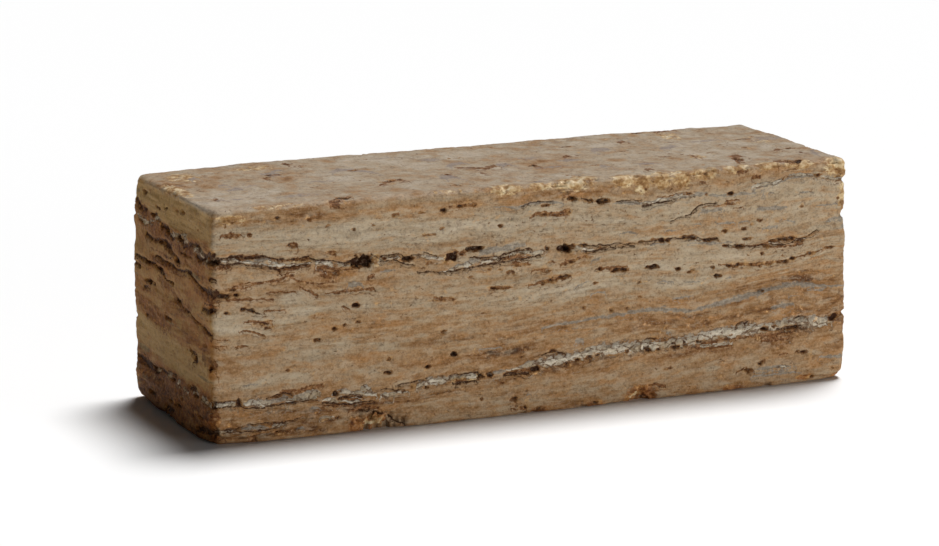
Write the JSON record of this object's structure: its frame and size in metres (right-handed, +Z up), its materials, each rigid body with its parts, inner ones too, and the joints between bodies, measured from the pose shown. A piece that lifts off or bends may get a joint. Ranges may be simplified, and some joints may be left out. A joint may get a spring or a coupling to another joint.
{
  "type": "travertine block",
  "caption": "Solid walling block of banded travertine with sawn beds, tumbled edges and weathered, pitted bedding seams.",
  "frame": {"origin": "middle of the underside, on the surface the block lies on", "axes": "+Z up, square to the bedding; +X along the block's length; -Y is the long face with the broad white seam"},
  "size_m": [0.5996, 0.195, 0.2],
  "materials": {
    "travertine": "sawn, tumbled and weathered, matte, with bedding in tan, cream and brown"
  },
  "bodies": {
    "root": {"travertine_block": "travertine"}
  },
  "joints": []
}
